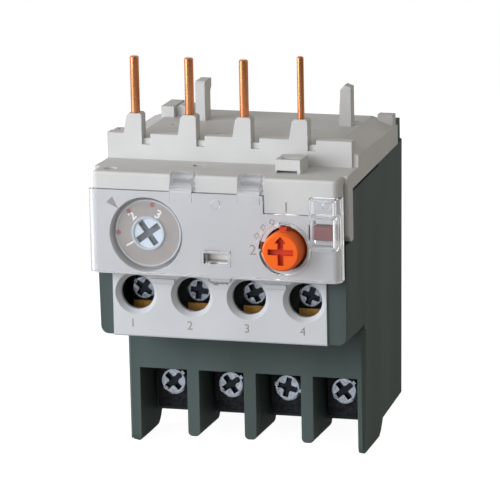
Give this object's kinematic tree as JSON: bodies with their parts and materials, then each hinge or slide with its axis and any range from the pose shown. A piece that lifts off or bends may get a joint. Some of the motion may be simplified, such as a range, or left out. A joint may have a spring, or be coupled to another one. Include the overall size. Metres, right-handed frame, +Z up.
{
  "type": "thermal overload relay",
  "caption": "Thermal overload relay, 45 mm wide: dark base with four terminal bays, light top, clear hinged cover over dial and knob, four copper pins on top.",
  "frame": {"origin": "foot of the free end of the middle line pin, where it leaves its boss", "axes": "+Z up along the pins, +Y to the back, +X to the right seen from the front"},
  "size_m": [0.045, 0.0453, 0.0708],
  "materials": {
    "dark_moulding": "satin",
    "light_moulding": "satin",
    "clear_moulding": "gloss",
    "copper": "satin",
    "brass_plate": "satin",
    "plated_steel": "satin",
    "strip_metal": "satin",
    "orange_moulding": "satin",
    "red_moulding": "satin",
    "dial_moulding": "matt",
    "flag_moulding": "matt",
    "inner_moulding": "matt"
  },
  "bodies": {
    "housing": {"aux_clamp_1": "plated_steel", "aux_clamp_2": "plated_steel", "aux_clamp_3": "plated_steel", "aux_clamp_4": "plated_steel", "aux_screw_1": "plated_steel", "aux_screw_2": "plated_steel", "aux_screw_3": "plated_steel", "aux_screw_4": "plated_steel", "aux_terminal_1": "brass_plate", "aux_terminal_2": "brass_plate", "aux_terminal_3": "brass_plate", "aux_terminal_4": "brass_plate", "base_housing": "dark_moulding", "bimetal_1": "strip_metal", "bimetal_2": "strip_metal", "bimetal_3": "strip_metal", "compensator_pin": "plated_steel", "control_pin": "copper", "heater_1": "strip_metal", "heater_2": "strip_metal", "heater_3": "strip_metal", "line_pin_1": "copper", "line_pin_2": "copper", "line_pin_3": "copper", "load_clamp_1": "plated_steel", "load_clamp_2": "plated_steel", "load_clamp_3": "plated_steel", "load_clamp_4": "plated_steel", "load_screw_1": "plated_steel", "load_screw_2": "plated_steel", "load_screw_3": "plated_steel", "load_screw_4": "plated_steel", "load_terminal_1": "brass_plate", "load_terminal_2": "brass_plate", "load_terminal_3": "brass_plate", "load_terminal_4": "brass_plate", "reset_spring": "plated_steel", "rocker_pin": "plated_steel", "terminal_panel": "light_moulding", "test_button_spring": "plated_steel", "top_cover": "light_moulding", "trip_lever_pin": "plated_steel"},
    "cover": {"clear_cover": "clear_moulding"},
    "dial": {"setting_dial": "dial_moulding", "dial_cam": "inner_moulding"},
    "compensator": {"compensator_lever": "inner_moulding", "compensator_strip": "strip_metal"},
    "reset_rod": {"reset_plunger": "inner_moulding"},
    "knob": {"reset_knob": "orange_moulding"},
    "test_key": {"test_button": "red_moulding"},
    "push_slide": {"push_slider": "inner_moulding"},
    "return_slide": {"return_slider": "inner_moulding"},
    "lever": {"trip_lever": "inner_moulding"},
    "rocker": {"contact_rocker": "inner_moulding", "trip_flag": "flag_moulding", "closed_contact_bridge": "strip_metal", "open_contact_bridge": "strip_metal"}
  },
  "joints": [
    {"name": "cover_open", "type": "hinge", "parent": "housing", "child": "cover", "pos_m": [0.0077, -0.0115, -0.009], "axis": [-1, 0, 0], "range_deg": [0, 115]},
    {"name": "dial_turn", "type": "hinge", "parent": "housing", "child": "dial", "pos_m": [-0.0044, -0.0086, -0.01865], "axis": [0, -1, 0], "range_deg": [-50, 50]},
    {"name": "compensator_set", "type": "hinge", "parent": "housing", "child": "compensator", "pos_m": [-0.0103, -0.0086, -0.01315], "axis": [0, -1, 0], "range_deg": [-3.6, 3.6]},
    {"name": "reset_press", "type": "slide", "parent": "housing", "child": "reset_rod", "axis": [0, 1, 0], "range_m": [0, 0.002], "stiffness_N_per_m": 400, "springref_m": -0.0005, "deforming": ["reset_spring"]},
    {"name": "reset_select", "type": "hinge", "parent": "reset_rod", "child": "knob", "pos_m": [0.0203, -0.0086, -0.02], "axis": [0, -1, 0], "range_deg": [0, 90]},
    {"name": "test_press", "type": "slide", "parent": "housing", "child": "test_key", "axis": [0, 1, 0], "range_m": [0, 0.0012], "stiffness_N_per_m": 300, "springref_m": -0.0005, "deforming": ["test_button_spring"]},
    {"name": "trip_slide", "type": "slide", "parent": "housing", "child": "push_slide", "axis": [1, 0, 0], "range_m": [0, 0.0015], "stiffness_N_per_m": 100, "springref_m": -0.0005},
    {"name": "return_slide", "type": "slide", "parent": "housing", "child": "return_slide", "axis": [1, 0, 0], "range_m": [0, 0.0015]},
    {"name": "lever_turn", "type": "hinge", "parent": "housing", "child": "lever", "pos_m": [0.0241, 0.0063, -0.06], "axis": [0, 0, -1], "range_deg": [0, 9.1]},
    {"name": "rocker_turn", "type": "hinge", "parent": "housing", "child": "rocker", "pos_m": [0.0073, -0.0086, -0.0116], "axis": [0, 1, 0], "range_deg": [0, 6.05]}
  ],
  "couplings": [
    {"joint": "compensator_set", "follows": "dial_turn", "ratio": 0.07},
    {"joint": "return_slide", "follows": "trip_slide", "ratio": 1},
    {"joint": "lever_turn", "follows": "trip_slide", "rad_per_m": 105.26},
    {"joint": "rocker_turn", "follows": "trip_slide", "rad_per_m": 69.813}
  ]
}
